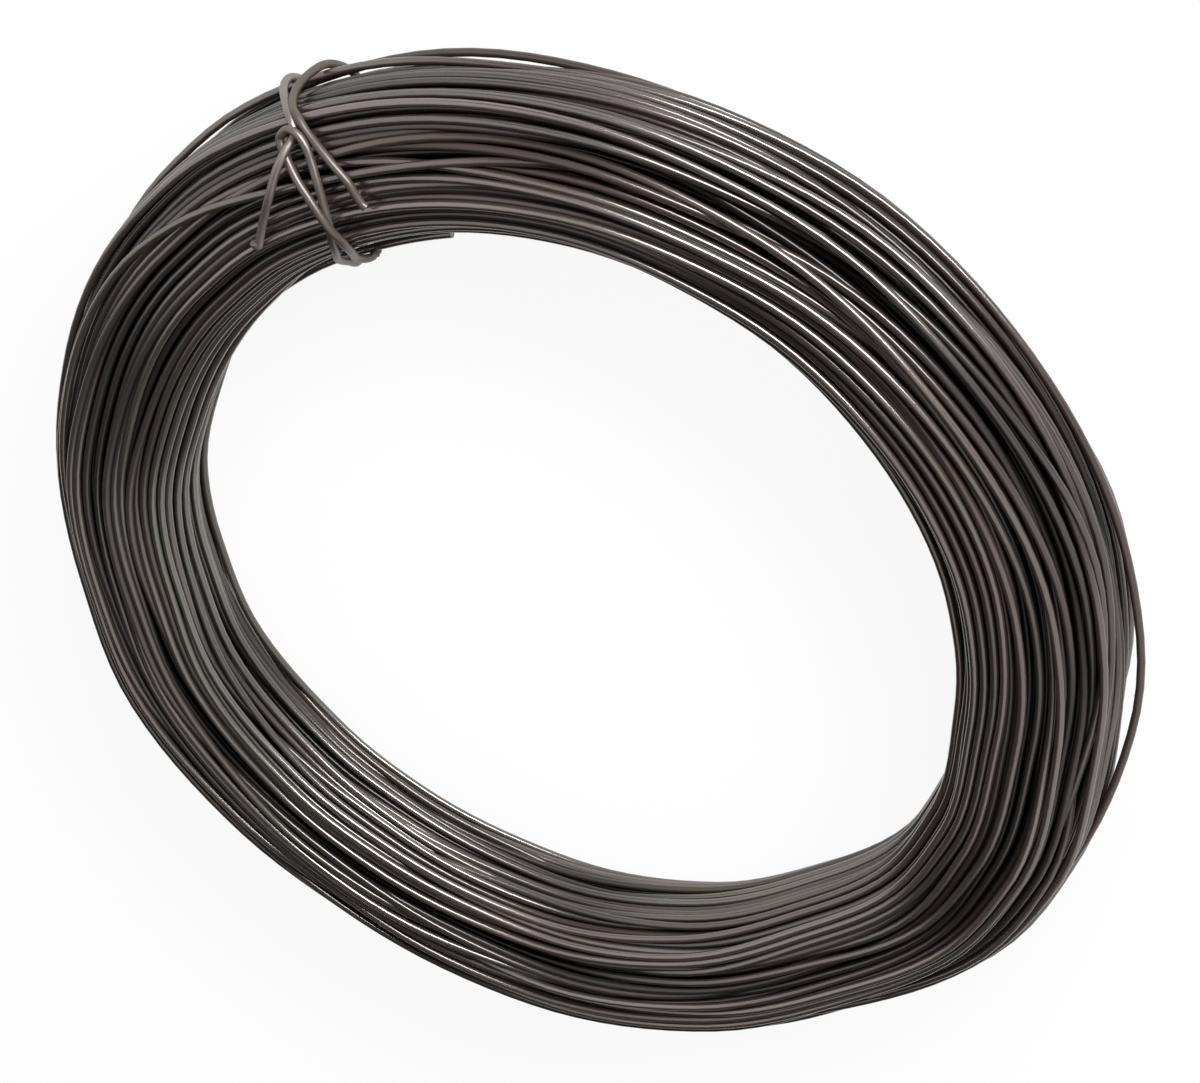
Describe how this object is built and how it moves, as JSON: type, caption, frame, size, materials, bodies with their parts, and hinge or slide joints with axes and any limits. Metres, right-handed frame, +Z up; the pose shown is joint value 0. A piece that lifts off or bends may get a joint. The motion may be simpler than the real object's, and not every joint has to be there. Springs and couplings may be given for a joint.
{
  "type": "coil of annealed wire",
  "caption": "Round coil of soft annealed steel wire lying flat, its turns bound at one place by a hooked tie wire.",
  "frame": {"origin": "bottom centre of the coil, on the axis of its bore, at the level floor that it lies on", "axes": "+Z up along the coil's axis; the tie wire binds the turns on the +X side"},
  "size_m": [0.2226, 0.2214, 0.0325],
  "materials": {
    "annealed_wire": "dark annealing oxide, smooth, semi-matt",
    "tie_wire": "dark annealing oxide, smooth, semi-matt"
  },
  "bodies": {
    "root": {"wire_coil": "annealed_wire", "tie_wire": "tie_wire"}
  },
  "joints": []
}
